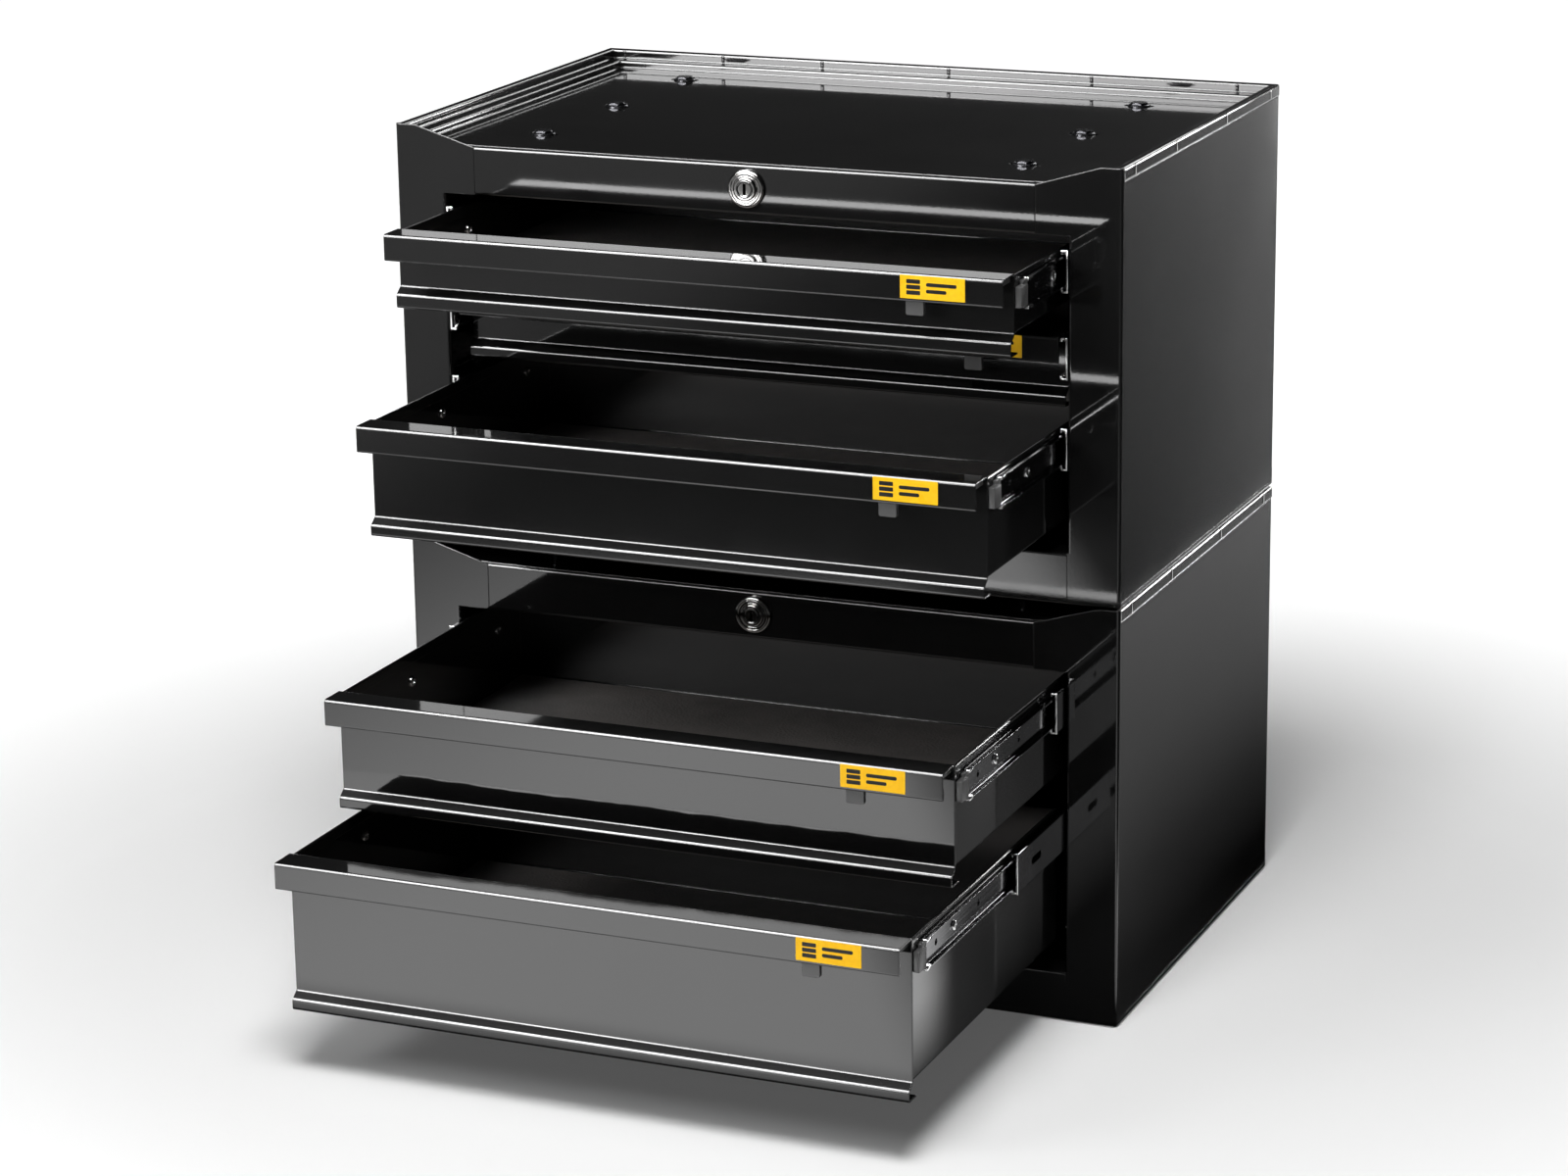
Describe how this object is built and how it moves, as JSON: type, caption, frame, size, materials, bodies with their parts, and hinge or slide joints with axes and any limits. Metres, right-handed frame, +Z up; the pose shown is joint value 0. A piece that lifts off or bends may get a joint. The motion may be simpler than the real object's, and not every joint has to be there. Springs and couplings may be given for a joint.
{
  "type": "tool chest",
  "caption": "Stacked sheet-steel tool chest: full-extension drawers with handle rails and thumb latches, key locks with locking bars, and a recessed tray top.",
  "frame": {"origin": "centre of the cabinet's underside", "axes": "+Z up, the drawers open towards -Y, +X to the right as seen from the front"},
  "size_m": [0.61, 0.7319, 0.685],
  "materials": {
    "shell_paint": "gloss black powder coat with fine orange peel",
    "drawer_paint": "gloss black powder coat",
    "slide_zinc": "bright zinc plate",
    "linkage_zinc": "zinc plate, satin",
    "fastener_zinc": "zinc plate",
    "lock_chrome": "polished",
    "latch_plastic": "fine-grained moulded grey",
    "liner_rubber": "matte, fine pebble",
    "label_film": "printed film"
  },
  "bodies": {
    "cabinet": {"right_side_lower": "shell_paint", "left_side_lower": "shell_paint", "back_panel_lower": "shell_paint", "top_tray_lower": "shell_paint", "base_pan_lower": "shell_paint", "top_rail_lower": "shell_paint", "bottom_rail_lower": "shell_paint", "slide_uprights_lower": "shell_paint", "slide_outers_lower": "slide_zinc", "lock_housing_lower": "lock_chrome", "lock_nut_lower": "fastener_zinc", "right_side_upper": "shell_paint", "left_side_upper": "shell_paint", "back_panel_upper": "shell_paint", "top_tray_upper": "shell_paint", "base_pan_upper": "shell_paint", "top_rail_upper": "shell_paint", "bottom_rail_upper": "shell_paint", "slide_uprights_upper": "shell_paint", "slide_outers_upper": "slide_zinc", "lock_housing_upper": "lock_chrome", "lock_nut_upper": "fastener_zinc", "cabinet_bolts": "fastener_zinc", "cabinet_nuts": "fastener_zinc"},
    "lock_cylinder_lower": {"lock_plug_lower": "lock_chrome", "lock_rod_lower": "linkage_zinc"},
    "lock_slide_lower": {"lock_bar_lower": "linkage_zinc"},
    "lock_cylinder_upper": {"lock_plug_upper": "lock_chrome", "lock_rod_upper": "linkage_zinc"},
    "lock_slide_upper": {"lock_bar_upper": "linkage_zinc"},
    "drawer_1_slides": {"drawer_1_runner": "slide_zinc"},
    "drawer_1": {"drawer_1_box": "drawer_paint", "drawer_1_front": "drawer_paint", "drawer_1_slide_inner": "slide_zinc", "drawer_1_mat": "liner_rubber"},
    "drawer_1_catch": {"drawer_1_latch": "latch_plastic"},
    "drawer_2_slides": {"drawer_2_runner": "slide_zinc"},
    "drawer_2": {"drawer_2_box": "drawer_paint", "drawer_2_front": "drawer_paint", "drawer_2_slide_inner": "slide_zinc", "drawer_2_mat": "liner_rubber"},
    "drawer_2_catch": {"drawer_2_latch": "latch_plastic"},
    "drawer_3_slides": {"drawer_3_runner": "slide_zinc"},
    "drawer_3": {"drawer_3_box": "drawer_paint", "drawer_3_front": "drawer_paint", "drawer_3_slide_inner": "slide_zinc", "drawer_3_mat": "liner_rubber"},
    "drawer_3_catch": {"drawer_3_latch": "latch_plastic"},
    "drawer_4_slides": {"drawer_4_runner": "slide_zinc"},
    "drawer_4": {"drawer_4_box": "drawer_paint", "drawer_4_front": "drawer_paint", "drawer_4_slide_inner": "slide_zinc", "drawer_4_mat": "liner_rubber"},
    "drawer_4_catch": {"drawer_4_latch": "latch_plastic"},
    "drawer_5_slides": {"drawer_5_runner": "slide_zinc"},
    "drawer_5": {"drawer_5_box": "drawer_paint", "drawer_5_front": "drawer_paint", "drawer_5_slide_inner": "slide_zinc", "drawer_5_mat": "liner_rubber"},
    "drawer_5_catch": {"drawer_5_latch": "latch_plastic"}
  },
  "joints": [
    {"name": "lock_turn_lower", "type": "hinge", "parent": "cabinet", "child": "lock_cylinder_lower", "pos_m": [0, -0.2, 0.309], "axis": [0, 1, 0], "range_deg": [0, 90]},
    {"name": "lock_bar_drop_lower", "type": "slide", "parent": "cabinet", "child": "lock_slide_lower", "axis": [0, 0, -1], "range_m": [0, 0.00999]},
    {"name": "lock_turn_upper", "type": "hinge", "parent": "cabinet", "child": "lock_cylinder_upper", "pos_m": [0, -0.2, 0.6515], "axis": [0, 1, 0], "range_deg": [0, 90]},
    {"name": "lock_bar_drop_upper", "type": "slide", "parent": "cabinet", "child": "lock_slide_upper", "axis": [0, 0, -1], "range_m": [0, 0.00999]},
    {"name": "drawer_1_slides_travel", "type": "slide", "parent": "cabinet", "child": "drawer_1_slides", "axis": [0, -1, 0], "range_m": [0, 0.135]},
    {"name": "drawer_1_travel", "type": "slide", "parent": "drawer_1_slides", "child": "drawer_1", "axis": [0, -1, 0], "range_m": [-0.1212, 0.1038]},
    {"name": "drawer_1_latch_draw", "type": "slide", "parent": "drawer_1", "child": "drawer_1_catch", "axis": [-1, 0, 0], "range_m": [0, 0.006], "stiffness_N_per_m": 300},
    {"name": "drawer_2_slides_travel", "type": "slide", "parent": "cabinet", "child": "drawer_2_slides", "axis": [0, -1, 0], "range_m": [0, 0.135]},
    {"name": "drawer_2_travel", "type": "slide", "parent": "drawer_2_slides", "child": "drawer_2", "axis": [0, -1, 0], "range_m": [0, 0.225]},
    {"name": "drawer_2_latch_draw", "type": "slide", "parent": "drawer_2", "child": "drawer_2_catch", "axis": [-1, 0, 0], "range_m": [0, 0.006], "stiffness_N_per_m": 300},
    {"name": "drawer_3_slides_travel", "type": "slide", "parent": "cabinet", "child": "drawer_3_slides", "axis": [0, -1, 0], "range_m": [0, 0.135]},
    {"name": "drawer_3_travel", "type": "slide", "parent": "drawer_3_slides", "child": "drawer_3", "axis": [0, -1, 0], "range_m": [-0.1777, 0.0473]},
    {"name": "drawer_3_latch_draw", "type": "slide", "parent": "drawer_3", "child": "drawer_3_catch", "axis": [-1, 0, 0], "range_m": [0, 0.006], "stiffness_N_per_m": 300},
    {"name": "drawer_4_slides_travel", "type": "slide", "parent": "cabinet", "child": "drawer_4_slides", "axis": [0, -1, 0], "range_m": [-0.0208, 0.1142]},
    {"name": "drawer_4_travel", "type": "slide", "parent": "drawer_4_slides", "child": "drawer_4", "axis": [0, -1, 0], "range_m": [-0.225, 0]},
    {"name": "drawer_4_latch_draw", "type": "slide", "parent": "drawer_4", "child": "drawer_4_catch", "axis": [-1, 0, 0], "range_m": [0, 0.006], "stiffness_N_per_m": 300},
    {"name": "drawer_5_slides_travel", "type": "slide", "parent": "cabinet", "child": "drawer_5_slides", "axis": [0, -1, 0], "range_m": [-0.1078, 0.0272]},
    {"name": "drawer_5_travel", "type": "slide", "parent": "drawer_5_slides", "child": "drawer_5", "axis": [0, -1, 0], "range_m": [-0.225, 0]},
    {"name": "drawer_5_latch_draw", "type": "slide", "parent": "drawer_5", "child": "drawer_5_catch", "axis": [-1, 0, 0], "range_m": [0, 0.006], "stiffness_N_per_m": 300}
  ],
  "couplings": [
    {"joint": "lock_turn_lower", "follows": "lock_bar_drop_lower", "rad_per_m": 157.08},
    {"joint": "lock_turn_upper", "follows": "lock_bar_drop_upper", "rad_per_m": 157.08}
  ]
}
